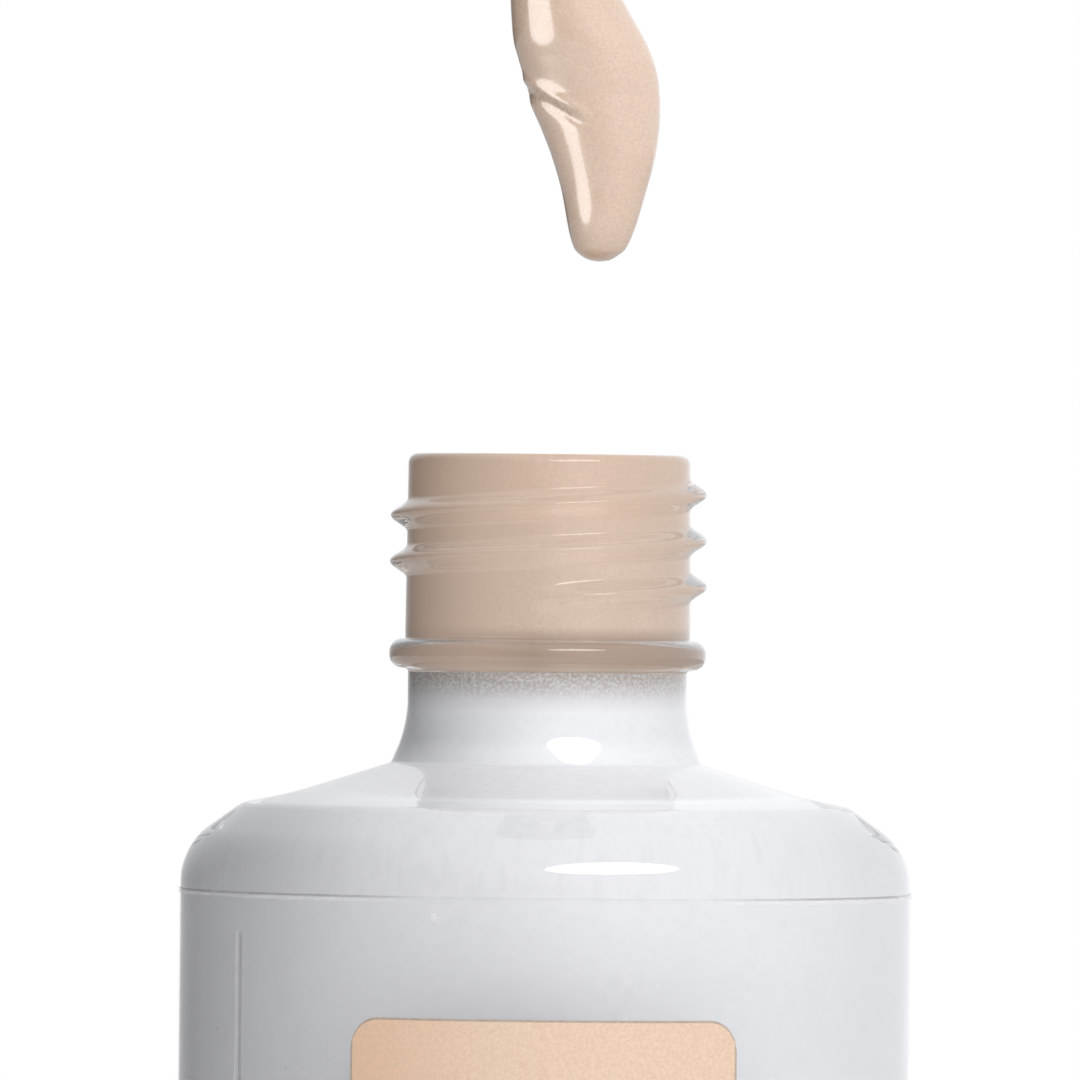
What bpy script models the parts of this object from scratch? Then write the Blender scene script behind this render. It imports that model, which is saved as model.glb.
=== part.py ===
"""Foundation bottle with a screw cap and spatula wand, held open above the neck.

Metres, +Z up. The origin is the centre of the bottle's base, and the front label faces -Y.
"""

import math

import bmesh
import bpy
from mathutils import Vector

# Bottle, outside. The shoulder has three slopes: a cone, a flatter rim and a steeper side.
BOTTLE_HEIGHT = 0.080
BODY_RADIUS = 0.0251
CONE_SLOPE = math.radians(17.7)
CONE_SHARE = 0.48
RIDGE_SLOPE = math.radians(11.1)
RIDGE_SHARE = 0.71
SIDE_SLOPE = math.radians(36.0)
SCOOP_ROUND = 0.012
RIDGE_ROUND = 0.0018
SHOULDER_ROUND = 0.0043
HEEL_ROUND = 0.0025
FOOT_RING_WIDTH = 0.005
PUNT_RISE = 0.0012

# Neck, with depths measured down from the rim
NECK_RADIUS = 0.0097
NECK_LENGTH = 0.0213
NECK_FOOT_RADIUS = NECK_RADIUS + 0.0010
NECK_FLARE_HEIGHT = 0.0017
NECK_FLARE_ROUND = 0.004
COLLAR_RADIUS = NECK_RADIUS - 0.0001
RIM_ROUND = 0.0007
BEAD_DEPTH = 0.0138
BEAD_RADIUS = NECK_RADIUS + 0.0012
BEAD_HEIGHT = 0.0020
BEAD_ROUND = 0.00085
BEAD_FOOT = 0.0001

# Bottle, inside
BORE_RADIUS = NECK_RADIUS - 0.0021
BORE_LENGTH = NECK_LENGTH + 0.0005
BORE_EDGE_ROUND = 0.0004
FLARE_ROUND = 0.0025
CAVITY_RADIUS = BODY_RADIUS - 0.0085
CAVITY_SLOPE = math.radians(17.3)
CAVITY_SHOULDER_ROUND = 0.0013
CAVITY_HEEL_ROUND = 0.0050
BASE_THICKNESS = 0.0100

# Screw thread
THREAD_PITCH = 0.003175
THREAD_RADIUS = NECK_RADIUS + 0.00115
THREAD_DEPTH_AT_START = 0.00268
THREAD_TURNS = 2.17
THREAD_FOOT_HEIGHT = 0.0022
THREAD_CREST_HEIGHT = 0.0005
THREAD_FADE = math.radians(40)
THREAD_SINK = 0.0002

# Coat, liquid and labels
SKIN_GAP = 0.00003
COAT_THICKNESS = 0.00015
COAT_TOP_DEPTH = BEAD_DEPTH + 0.0008
FILL_GAP = 0.00005
FILL_DEPTH = 0.0003
WRAP_THICKNESS = 0.00012
WRAP_TOP_GAP = 0.0006
WRAP_BOTTOM = HEEL_ROUND + 0.0020
LABEL_THICKNESS = 0.0001
LABEL_WIDTH = 0.0260
LABEL_HEIGHT = 0.0280
LABEL_TOP_GAP = 0.0082
LABEL_CORNER = 0.0021

# Closure, with heights measured from the rim when it is screwed down
WAD_GAP = 0.0001
WAD_THICKNESS = 0.0010
SEAT_GAP = 0.0001
LINER_CLEARANCE = 0.0003
LINER_WALL = 0.0010
LINER_CEILING = 0.0014
LINER_SKIRT_DEPTH = BEAD_DEPTH - BEAD_HEIGHT / 2 - 0.0008
LINER_THREAD_END_GAP = 0.0026
LINER_THREAD_FOOT = 0.0015
LINER_THREAD_CREST = 0.0006
THREAD_CLEARANCE = 0.00037
SHELL_GAP = 0.00015
SHELL_WALL = 0.00125
SHELL_TOP = 0.0016
SHELL_DEPTH = NECK_LENGTH - 0.0010
SHELL_ROUND = 0.0012
FLANGE_RADIUS = 0.0060
FLANGE_THICKNESS = 0.0010
BOSS_WALL = 0.00075
BOSS_DEPTH = 0.0030
BOSS_GAP = 0.0002

# Wand, with heights measured up from the lowest point of the drip
ROD_RADIUS = 0.0022
ROD_GAP = 0.00015
BOSS_RADIUS = ROD_RADIUS + ROD_GAP + BOSS_WALL
PEG_RADIUS = ROD_RADIUS - 0.0009
PEG_LENGTH = 0.0050
TIP_CLEARANCE = 0.0035
WAND_REACH = BOTTLE_HEIGHT - BASE_THICKNESS - TIP_CLEARANCE
DRIP_CLEARANCE = 0.0133
BLADE_TIP = 0.0032
BLADE_HALF_WIDTH = 0.0022
BLADE_HALF_THICKNESS = 0.0007
BLADE_LEAN = 0.0034
BLADE_SHOULDER = 0.0120
SLEEVE_START = 0.0160
SLEEVE_TOP = 0.0215
SOCKET_GAP = 0.0003
COATED_HEIGHT = 0.0240
SLEEVE_COVER = 0.0008

TURN_STEPS = 40
ARC_STEPS = 3
SMALL_STEPS = 20

CLEAR_GLASS = ((0.93, 0.95, 0.96), 0.03, 0.0)
WHITE_LACQUER = ((0.90, 0.90, 0.92), 0.35, 0.0)
BEIGE_LIQUID = ((0.79, 0.60, 0.48), 0.25, 0.0)
CLEAR_FILM = ((0.92, 0.92, 0.94), 0.15, 0.0)
PEACH_PAPER = ((0.86, 0.68, 0.54), 0.45, 0.0)
WHITE_GLOSS = ((0.88, 0.88, 0.88), 0.15, 0.0)
NATURAL_PLASTIC = ((0.82, 0.82, 0.80), 0.40, 0.0)
FOAM_WHITE = ((0.85, 0.85, 0.83), 0.80, 0.0)


def new_collection(name):
    collection = bpy.data.collections.new(name)
    bpy.context.scene.collection.children.link(collection)
    return collection


def clear_scene():
    for obj in list(bpy.data.objects):
        bpy.data.objects.remove(obj, do_unlink=True)


def new_material(name, finish):
    colour, roughness, metallic = finish
    material = bpy.data.materials.new(name)
    material.use_nodes = True
    shader = material.node_tree.nodes["Principled BSDF"]
    shader.inputs["Base Color"].default_value = (*colour, 1.0)
    shader.inputs["Roughness"].default_value = roughness
    shader.inputs["Metallic"].default_value = metallic
    return material


def new_object(name, mesh, collection, parent=None, finish=None):
    obj = bpy.data.objects.new(name, mesh)
    collection.objects.link(obj)
    obj.parent = parent
    if finish:
        mesh.materials.append(new_material(name + "_finish", finish))
    return obj


def rounded(corners, steps=ARC_STEPS):
    """Turn (radius, height, round) corners into outline points, with an arc at each rounded corner."""
    outline = []
    for index, (radius, height, bend) in enumerate(corners):
        corner = Vector((radius, height))
        if not bend:
            outline.append(corner)
            continue
        before = (Vector(corners[index - 1][:2]) - corner).normalized()
        after = (Vector(corners[(index + 1) % len(corners)][:2]) - corner).normalized()
        half_angle = before.angle(after) / 2
        centre = corner + (before + after).normalized() * (bend / math.sin(half_angle))
        start = corner + before * (bend / math.tan(half_angle)) - centre
        sweep = start.angle_signed(corner + after * (bend / math.tan(half_angle)) - centre)
        for step in range(steps + 1):
            turn = -sweep * step / steps
            outline.append(centre + Vector((
                start.x * math.cos(turn) - start.y * math.sin(turn),
                start.x * math.sin(turn) + start.y * math.cos(turn),
            )))
    return outline


def lathe(name, outline, collection, parent, finish, steps=TURN_STEPS, closed=False):
    """Turn an outline round Z. It runs down the outer side; a closed one is a ring's section."""
    count = len(outline)
    edges = [(i, i + 1) for i in range(count - 1)]
    if closed:
        edges.append((count - 1, 0))
    mesh = bpy.data.meshes.new(name)
    mesh.from_pydata([(point[0], 0.0, point[1]) for point in outline], edges, [])
    obj = new_object(name, mesh, collection, parent, finish)
    screw = obj.modifiers.new("turn", "SCREW")
    screw.angle = 2 * math.pi
    screw.steps = steps
    screw.render_steps = steps
    screw.use_merge_vertices = True
    screw.merge_threshold = 0.000001
    screw.use_smooth_shade = True
    return obj


def loft(name, rings, collection, parent=None, finish=None):
    """Join equal rings of points into one closed body with capped ends."""
    shape = bmesh.new()
    loops = [[shape.verts.new(point) for point in ring] for ring in rings]
    count = len(loops[0])
    for lower, upper in zip(loops, loops[1:]):
        for i in range(count):
            j = (i + 1) % count
            shape.faces.new((lower[i], lower[j], upper[j], upper[i]))
    shape.faces.new(list(reversed(loops[0])))
    shape.faces.new(loops[-1])
    bmesh.ops.recalc_face_normals(shape, faces=shape.faces)
    mesh = bpy.data.meshes.new(name)
    shape.to_mesh(mesh)
    shape.free()
    mesh.shade_smooth()
    return new_object(name, mesh, collection, parent, finish)


def combine(target, tool, operation):
    """Cut, join or intersect target with tool, which stays as a wire guide."""
    tool.hide_render = True
    tool.display_type = "WIRE"
    boolean = target.modifiers.new(operation.lower(), "BOOLEAN")
    boolean.operation = operation
    boolean.solver = "EXACT"
    boolean.object = tool


def helix(name, collection, parent, root, crest, foot, tip, top, turns, fade):
    """A right-hand ridge from radius root to crest. top is the height of its middle at the start."""
    rings = []
    steps = round(turns * TURN_STEPS)
    sink = -THREAD_SINK if crest > root else THREAD_SINK
    for step in range(steps + 1):
        turned = turns * 2 * math.pi * step / steps
        near_end = min(turned, turns * 2 * math.pi - turned)
        rise = math.sin(min(near_end / fade, 1.0) * math.pi / 2)
        reach = root + sink / 2 + (crest - root - sink / 2) * rise
        middle = root + (reach - root) * 0.35
        height = top - THREAD_PITCH * turned / (2 * math.pi)
        shoulder = tip / 2 + (foot - tip) * 0.22
        section = [
            (root + sink, foot / 2),
            (root + sink, -foot / 2),
            (middle, -shoulder),
            (reach, -tip / 2),
            (reach, tip / 2),
            (middle, shoulder),
        ]
        rings.append([
            (r * math.cos(turned), -r * math.sin(turned), height + z) for r, z in section
        ])
    return loft(name, rings, collection, parent)


def cavity_corners(inset, top):
    """The inner wall from the floor's centre up to height top, moved in from the glass by inset."""
    floor = BASE_THICKNESS + inset
    flare = BOTTLE_HEIGHT - BORE_LENGTH
    shoulder = flare - (CAVITY_RADIUS - BORE_RADIUS) * math.tan(CAVITY_SLOPE)
    return [
        (0.0, floor, 0.0),
        (CAVITY_RADIUS - inset, floor, CAVITY_HEEL_ROUND - inset),
        (CAVITY_RADIUS - inset, shoulder - inset, CAVITY_SHOULDER_ROUND - inset),
        (BORE_RADIUS - inset, flare - inset, FLARE_ROUND + inset),
        (BORE_RADIUS - inset, top, 0.0),
    ]


def shoulder_corners():
    """The scoop's foot, the ridge and the outer corner, each as a radius and a depth below the rim."""
    reach = BODY_RADIUS - NECK_FOOT_RADIUS
    scoop_depth = NECK_LENGTH + reach * CONE_SHARE * math.tan(CONE_SLOPE)
    ridge_depth = scoop_depth + reach * (RIDGE_SHARE - CONE_SHARE) * math.tan(RIDGE_SLOPE)
    side_depth = ridge_depth + reach * (1 - RIDGE_SHARE) * math.tan(SIDE_SLOPE)
    return [
        (NECK_FOOT_RADIUS + reach * CONE_SHARE, scoop_depth),
        (NECK_FOOT_RADIUS + reach * RIDGE_SHARE, ridge_depth),
        (BODY_RADIUS, side_depth),
    ]


def wrap_top_depth():
    """The film starts just under the shoulder's rounding."""
    side_depth = shoulder_corners()[-1][1]
    return side_depth + SHOULDER_ROUND * math.tan((math.pi / 2 - SIDE_SLOPE) / 2) + WRAP_TOP_GAP


def bottle_corners():
    """The bottle's whole section, up the inside, over the rim and down the outside."""
    rim = BOTTLE_HEIGHT
    bead_top = rim - BEAD_DEPTH + BEAD_HEIGHT / 2
    bead_bottom = bead_top - BEAD_HEIGHT
    neck_foot = rim - NECK_LENGTH
    rounds = (SCOOP_ROUND, RIDGE_ROUND, SHOULDER_ROUND)
    shoulder = [(radius, rim - depth, bend) for (radius, depth), bend in zip(shoulder_corners(), rounds)]
    inside = cavity_corners(0.0, rim)
    inside[-1] = (BORE_RADIUS, rim, BORE_EDGE_ROUND)
    return inside + [
        (NECK_RADIUS, rim, RIM_ROUND),
        (NECK_RADIUS, bead_top + BEAD_FOOT, 0.0),
        (BEAD_RADIUS, bead_top, BEAD_ROUND),
        (BEAD_RADIUS, bead_bottom, BEAD_ROUND),
        (COLLAR_RADIUS, bead_bottom - BEAD_FOOT, 0.0),
        (COLLAR_RADIUS, neck_foot + NECK_FLARE_HEIGHT, NECK_FLARE_ROUND),
        (NECK_FOOT_RADIUS, neck_foot, 0.0),
        *shoulder,
        (BODY_RADIUS, 0.0, HEEL_ROUND),
        (BODY_RADIUS - HEEL_ROUND - FOOT_RING_WIDTH, 0.0, 0.0),
        (0.0, PUNT_RISE, 0.0),
    ]


def make_bottle(parts, guides, parent):
    bottle = lathe("glass_bottle", rounded(bottle_corners()), parts, parent, CLEAR_GLASS)
    thread = helix(
        "bottle_thread_guide", guides, parent, NECK_RADIUS, THREAD_RADIUS, THREAD_FOOT_HEIGHT,
        THREAD_CREST_HEIGHT, BOTTLE_HEIGHT - THREAD_DEPTH_AT_START, THREAD_TURNS, THREAD_FADE,
    )
    combine(bottle, thread, "UNION")


def make_coat(parts, parent):
    top = BOTTLE_HEIGHT - COAT_TOP_DEPTH
    inner = rounded(cavity_corners(SKIN_GAP + COAT_THICKNESS, top))
    outer = rounded(cavity_corners(SKIN_GAP, top))
    lathe("inner_white_coat", inner + outer[::-1], parts, parent, WHITE_LACQUER)


def make_fill(parts, parent):
    step_height = BOTTLE_HEIGHT - COAT_TOP_DEPTH + FILL_GAP
    surface = BOTTLE_HEIGHT - FILL_DEPTH
    wide = BORE_RADIUS - FILL_GAP
    below = rounded(cavity_corners(SKIN_GAP * 2 + COAT_THICKNESS, step_height))
    outline = [(0.0, surface), (wide, surface), (wide, step_height)] + below[::-1]
    lathe("foundation_fill", outline, parts, parent, BEIGE_LIQUID)


def tube_outline(inner, outer, bottom, top):
    return [(inner, bottom), (inner, top), (outer, top), (outer, bottom)]


def make_labels(parts, guides, parent):
    wrap_inner = BODY_RADIUS + SKIN_GAP
    wrap_outer = wrap_inner + WRAP_THICKNESS
    wrap_top = BOTTLE_HEIGHT - wrap_top_depth()
    section = tube_outline(wrap_inner, wrap_outer, WRAP_BOTTOM, wrap_top)
    lathe("clear_wrap_label", section, parts, parent, CLEAR_FILM, closed=True)

    label_inner = wrap_outer + SKIN_GAP
    label_outer = label_inner + LABEL_THICKNESS
    label_top = wrap_top - LABEL_TOP_GAP
    section = tube_outline(label_inner, label_outer, label_top - LABEL_HEIGHT * 1.2, label_top + LABEL_CORNER)
    label = lathe("front_label", section, parts, parent, PEACH_PAPER, closed=True)
    combine(label, label_stamp(guides, parent, label_top), "INTERSECT")


def label_stamp(guides, parent, label_top):
    """A block with rounded corners, standing in front of the body, that stamps out the label."""
    half_width = LABEL_WIDTH / 2
    centre_height = label_top - LABEL_HEIGHT / 2
    corners = [
        (-half_width, -LABEL_HEIGHT / 2, LABEL_CORNER),
        (-half_width, LABEL_HEIGHT / 2, LABEL_CORNER),
        (half_width, LABEL_HEIGHT / 2, LABEL_CORNER),
        (half_width, -LABEL_HEIGHT / 2, LABEL_CORNER),
    ]
    outline = rounded(corners)
    rings = [
        [(point.x, depth, centre_height + point.y) for point in outline]
        for depth in (-BODY_RADIUS * 1.2, -BODY_RADIUS / 2)
    ]
    return loft("label_stamp_guide", rings, guides, parent)


def liner_radius():
    return THREAD_RADIUS + LINER_CLEARANCE


def ceiling_height():
    """The underside of the liner's ceiling."""
    return WAD_GAP + WAD_THICKNESS + SEAT_GAP


def make_wad(parts, parent):
    section = tube_outline(
        BOSS_RADIUS + BOSS_GAP, liner_radius() - LINER_CLEARANCE, WAD_GAP, WAD_GAP + WAD_THICKNESS
    )
    lathe("sealing_wad", section, parts, parent, FOAM_WHITE, closed=True)


def make_liner(parts, guides, parent):
    inner = liner_radius()
    outer = inner + LINER_WALL
    ceiling = ceiling_height()
    section = [
        (BOSS_RADIUS + BOSS_GAP, ceiling, 0.0),
        (BOSS_RADIUS + BOSS_GAP, ceiling + LINER_CEILING, 0.0),
        (outer, ceiling + LINER_CEILING, LINER_WALL / 2),
        (outer, -LINER_SKIRT_DEPTH, 0.0),
        (inner, -LINER_SKIRT_DEPTH, 0.0),
        (inner, ceiling, 0.0),
    ]
    liner = lathe("cap_inner_liner", rounded(section), parts, parent, NATURAL_PLASTIC, closed=True)
    start_depth = THREAD_DEPTH_AT_START + THREAD_PITCH / 2
    turns = (LINER_SKIRT_DEPTH - LINER_THREAD_END_GAP - start_depth) / THREAD_PITCH
    thread = helix(
        "liner_thread_guide", guides, parent, inner, NECK_RADIUS + THREAD_CLEARANCE,
        LINER_THREAD_FOOT, LINER_THREAD_CREST, -start_depth, turns, THREAD_FADE,
    )
    combine(liner, thread, "UNION")


def flange_height():
    return ceiling_height() + LINER_CEILING + SEAT_GAP


def make_shell(parts, parent):
    inner = liner_radius() + LINER_WALL + SHELL_GAP
    outer = inner + SHELL_WALL
    ceiling = flange_height() + FLANGE_THICKNESS + SEAT_GAP
    section = [
        (0.0, ceiling, 0.0),
        (inner, ceiling, 0.0),
        (inner, -SHELL_DEPTH, 0.0),
        (outer, -SHELL_DEPTH, 0.0),
        (outer, ceiling + SHELL_TOP, SHELL_ROUND),
        (0.0, ceiling + SHELL_TOP, 0.0),
    ]
    lathe("cap_outer_shell", rounded(section[::-1]), parts, parent, WHITE_GLOSS)


def make_holder(parts, parent):
    flange = flange_height()
    section = [
        (0.0, flange + FLANGE_THICKNESS),
        (FLANGE_RADIUS, flange + FLANGE_THICKNESS),
        (FLANGE_RADIUS, flange),
        (BOSS_RADIUS, flange),
        (BOSS_RADIUS, -BOSS_DEPTH),
        (ROD_RADIUS + ROD_GAP, -BOSS_DEPTH),
        (ROD_RADIUS + ROD_GAP, flange),
        (0.0, flange),
    ]
    lathe("wand_holder", section, parts, parent, NATURAL_PLASTIC, steps=SMALL_STEPS)


def make_rod(parts, parent):
    top = flange_height() - ROD_GAP
    foot = SLEEVE_TOP + SOCKET_GAP - WAND_REACH
    section = [
        (0.0, top),
        (ROD_RADIUS, top),
        (ROD_RADIUS, foot),
        (PEG_RADIUS, foot),
        (PEG_RADIUS, foot - PEG_LENGTH),
        (0.0, foot - PEG_LENGTH),
    ]
    lathe("wand_rod", section, parts, parent, NATURAL_PLASTIC, steps=SMALL_STEPS)


def ellipse(centre, half_width, half_depth, height):
    points = []
    for step in range(SMALL_STEPS):
        angle = 2 * math.pi * step / SMALL_STEPS
        points.append((centre + half_width * math.cos(angle), half_depth * math.sin(angle), height))
    return points


def blade_offset(height):
    """How far the blade leans to +X at a height, from nothing at the sleeve."""
    return BLADE_LEAN * (SLEEVE_START - height) / (SLEEVE_START - BLADE_TIP)


def blade_rings(margin):
    """The spatula from its tip to the top of its sleeve, grown by margin."""
    sections = [
        (BLADE_TIP, 0.25, 0.7),
        (BLADE_TIP + 0.0008, 0.55, 1.0),
        (BLADE_TIP + 0.0025, 0.80, 1.0),
        (BLADE_TIP + 0.0055, 1.00, 1.0),
        (BLADE_SHOULDER, 1.00, 1.0),
    ]
    rings = [
        ellipse(blade_offset(height), BLADE_HALF_WIDTH * wide + margin,
                BLADE_HALF_THICKNESS * deep + margin, height - WAND_REACH)
        for height, wide, deep in sections
    ]
    rings.append(ellipse(0.0, ROD_RADIUS + margin, ROD_RADIUS + margin, SLEEVE_START - WAND_REACH))
    return rings


def make_spatula(parts, guides, parent):
    top = SLEEVE_TOP - WAND_REACH
    rings = blade_rings(0.0) + [ellipse(0.0, ROD_RADIUS, ROD_RADIUS, top)]
    spatula = loft("spatula_tip", rings, parts, parent, NATURAL_PLASTIC)
    hole = PEG_RADIUS + ROD_GAP
    socket = loft("spatula_socket_guide", [
        ellipse(0.0, hole, hole, top - PEG_LENGTH),
        ellipse(0.0, hole, hole, top + PEG_LENGTH),
    ], guides, parent)
    combine(spatula, socket, "DIFFERENCE")


def make_dollop(parts, guides, parent):
    """Foundation over the blade: a hanging drip, a bulge towards +X and a coat up the sleeve."""
    sections = [
        (0.0000, 0.00330, 0.00050, 0.00050),
        (0.0004, 0.00325, 0.00135, 0.00125),
        (0.0012, 0.00333, 0.00198, 0.00180),
        (0.0026, 0.00345, 0.00245, 0.00210),
        (0.0050, 0.00353, 0.00308, 0.00230),
        (0.0078, 0.00335, 0.00385, 0.00250),
        (0.0100, 0.00300, 0.00430, 0.00260),
        (0.0108, 0.00278, 0.00453, 0.00260),
        (0.0120, 0.00270, 0.00450, 0.00260),
        (0.0135, 0.00235, 0.00465, 0.00280),
        (0.0155, 0.00168, ROD_RADIUS + SLEEVE_COVER * 2.9, ROD_RADIUS + SLEEVE_COVER),
        (0.0185, 0.00080, ROD_RADIUS + SLEEVE_COVER * 2.0, ROD_RADIUS + SLEEVE_COVER),
        (COATED_HEIGHT, 0.00000, ROD_RADIUS + SLEEVE_COVER, ROD_RADIUS + SLEEVE_COVER),
    ]
    rings = [
        ellipse(centre, wide, deep, height - WAND_REACH) for height, centre, wide, deep in sections
    ]
    dollop = loft("foundation_dollop", rings, parts, parent, BEIGE_LIQUID)
    hole = ROD_RADIUS + SOCKET_GAP
    inner = blade_rings(SOCKET_GAP) + [ellipse(0.0, hole, hole, COATED_HEIGHT * 1.1 - WAND_REACH)]
    below_tip = BLADE_TIP - SOCKET_GAP
    inner[0] = ellipse(
        blade_offset(below_tip), BLADE_HALF_WIDTH * 0.25, BLADE_HALF_THICKNESS, below_tip - WAND_REACH
    )
    combine(dollop, loft("dollop_socket_guide", inner, guides, parent), "DIFFERENCE")


def new_axis(name, height, collection):
    axis = bpy.data.objects.new(name, None)
    axis.location = (0.0, 0.0, height)
    axis.empty_display_size = BODY_RADIUS
    collection.objects.link(axis)
    return axis


def build():
    clear_scene()
    parts = new_collection("foundation_bottle")
    guides = new_collection("cutters")

    bottle_axis = new_axis("bottle_axis", 0.0, parts)
    make_bottle(parts, guides, bottle_axis)
    make_coat(parts, bottle_axis)
    make_fill(parts, bottle_axis)
    make_labels(parts, guides, bottle_axis)

    lift = WAND_REACH + DRIP_CLEARANCE
    cap_axis = new_axis("cap_axis", BOTTLE_HEIGHT + lift, parts)
    make_wad(parts, cap_axis)
    make_liner(parts, guides, cap_axis)
    make_shell(parts, cap_axis)
    make_holder(parts, cap_axis)
    make_rod(parts, cap_axis)
    make_spatula(parts, guides, cap_axis)
    make_dollop(parts, guides, cap_axis)


build()
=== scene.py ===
import math

import bmesh
import bpy
from mathutils import Matrix, Vector, noise


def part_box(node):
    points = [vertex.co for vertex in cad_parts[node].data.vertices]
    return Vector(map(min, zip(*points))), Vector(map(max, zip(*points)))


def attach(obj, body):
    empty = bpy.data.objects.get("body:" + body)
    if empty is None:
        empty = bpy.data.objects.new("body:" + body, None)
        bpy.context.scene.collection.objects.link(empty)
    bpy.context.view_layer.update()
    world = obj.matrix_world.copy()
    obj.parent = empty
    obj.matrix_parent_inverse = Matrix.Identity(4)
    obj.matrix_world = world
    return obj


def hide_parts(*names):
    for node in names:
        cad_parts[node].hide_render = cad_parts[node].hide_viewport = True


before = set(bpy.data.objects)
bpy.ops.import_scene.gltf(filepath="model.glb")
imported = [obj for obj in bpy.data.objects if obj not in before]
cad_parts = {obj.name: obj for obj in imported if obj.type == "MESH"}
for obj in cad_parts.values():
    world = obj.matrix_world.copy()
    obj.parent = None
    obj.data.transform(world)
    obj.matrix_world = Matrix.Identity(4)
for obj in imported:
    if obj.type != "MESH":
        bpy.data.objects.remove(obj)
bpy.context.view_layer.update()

mm = 0.001
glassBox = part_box("glass_bottle")
rimHeight = glassBox[1].z
bodyRadius = (glassBox[1].x - glassBox[0].x) / 2
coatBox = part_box("inner_white_coat")
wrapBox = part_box("clear_wrap_label")
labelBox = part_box("front_label")
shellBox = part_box("cap_outer_shell")
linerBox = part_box("cap_inner_liner")
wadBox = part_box("sealing_wad")
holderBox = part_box("wand_holder")
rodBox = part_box("wand_rod")
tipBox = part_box("spatula_tip")
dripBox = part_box("foundation_dollop")
seatGap = 0.1
seatHeight = wadBox[0].z - seatGap * mm  # where the bottle's rim meets the closure
mergeReach = 0.002
wallReach = 0.2
sharpAngle = math.radians(50)
print("frame loaded, rim at", round(rimHeight / mm, 2), "mm")


def drawProfile(bm, corners, segments=8, closed=False):
    # each corner is (radius, height, cut), and its rounding starts that cut away from it
    verts = [bm.verts.new((r * mm, 0, z * mm)) for r, z, _ in corners]
    for first, second in zip(verts, verts[1:] + verts[:1] if closed else verts[1:]):
        bm.edges.new((first, second))
    for vert, corner in zip(verts, corners):
        if corner[2]:
            bmesh.ops.bevel(bm, geom=[vert], offset=corner[2] * mm, offset_type="OFFSET", affect="VERTICES",
                            segments=segments, profile=0.5, material=-1)


def turnProfile(bm, steps):
    bmesh.ops.spin(bm, geom=bm.verts[:] + bm.edges[:], cent=(0, 0, 0), axis=(0, 0, 1),
                   angle=2 * math.pi, steps=steps, use_merge=True)
    bmesh.ops.remove_doubles(bm, verts=bm.verts[:], dist=mergeReach * mm)
    bmesh.ops.recalc_face_normals(bm, faces=bm.faces[:])


def splitWall(bm, radius, shortest, cuts):
    # divide the long straight line of a profile at this radius, so that a thread can rise from it
    wall = [edge for edge in bm.edges if edge.calc_length() > shortest * mm
            and all(abs(vert.co.x - radius * mm) < wallReach * mm for vert in edge.verts)]
    bmesh.ops.subdivide_edges(bm, edges=wall, cuts=cuts)


def raiseThread(bm, look, rim, rise, affects):
    # a right-hand ridge with a rounded section, fading out at both ends
    fullTurn = look["turns"] * 2 * math.pi
    for vert in bm.verts:
        radius = math.hypot(vert.co.x, vert.co.y)
        if not affects(radius / mm):
            continue
        depth = (rim - vert.co.z) / mm - look["top"]
        around = (-math.atan2(vert.co.y, vert.co.x)) % (2 * math.pi)
        nearest = round(depth / look["pitch"] - around / (2 * math.pi))
        lift = 0
        for turn in (nearest - 1, nearest, nearest + 1):
            turned = turn * 2 * math.pi + around
            offset = abs(depth - turned / (2 * math.pi) * look["pitch"])
            toEnd = min(turned, fullTurn - turned) + look["fade"]
            if offset < look["half"] and toEnd > 0:
                fade = math.sin(min(toEnd / look["fade"], 1) * math.pi / 2) ** 2
                lift += fade * math.cos(offset / look["half"] * math.pi / 2) ** 2
        scale = 1 + min(lift, 1) * rise * mm / radius
        vert.co.x *= scale
        vert.co.y *= scale


def loftRings(bm, rings, segments):
    # rings are (height, centreX, centreY, halfWidth, halfDepth), from the bottom up
    loops = []
    for height, centreX, centreY, halfWidth, halfDepth in rings:
        verts = bmesh.ops.create_circle(bm, segments=segments, radius=1)["verts"]
        for vert in verts:
            across, along = centreX + vert.co.x * halfWidth, centreY + vert.co.y * halfDepth
            vert.co = (across * mm, along * mm, height * mm)
        loops.append(list({edge for vert in verts for edge in vert.link_edges}))
    for lower, upper in zip(loops, loops[1:]):
        bmesh.ops.bridge_loops(bm, edges=lower + upper)
    bmesh.ops.holes_fill(bm, edges=bm.edges[:])
    bmesh.ops.recalc_face_normals(bm, faces=bm.faces[:])


def smoothRings(rings, steps):
    # more rings between the given ones, along a smooth curve through them
    out = []
    for i in range(len(rings) - 1):
        before, start, end, after = (rings[max(0, min(len(rings) - 1, i + k))] for k in (-1, 0, 1, 2))
        for step in range(steps):
            t = step / steps
            out.append(tuple(
                0.5 * (2 * b + (c - a) * t + (2 * a - 5 * b + 4 * c - d) * t ** 2
                       + (3 * b - a - 3 * c + d) * t ** 3)
                for a, b, c, d in zip(before, start, end, after)))
    return out + [rings[-1]]


def asPiece(bm, name, materials, body, node):
    mesh = bpy.data.meshes.new(name)
    bm.to_mesh(mesh)
    bm.free()
    mesh.shade_smooth()
    mesh.set_sharp_from_angle(angle=sharpAngle)
    for material in materials:
        mesh.materials.append(material)
    piece = bpy.data.objects.new(name, mesh)
    bpy.context.scene.collection.objects.link(piece)
    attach(piece, body)
    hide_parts(node)
    print(name, len(mesh.polygons), "faces")
    return piece


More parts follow.
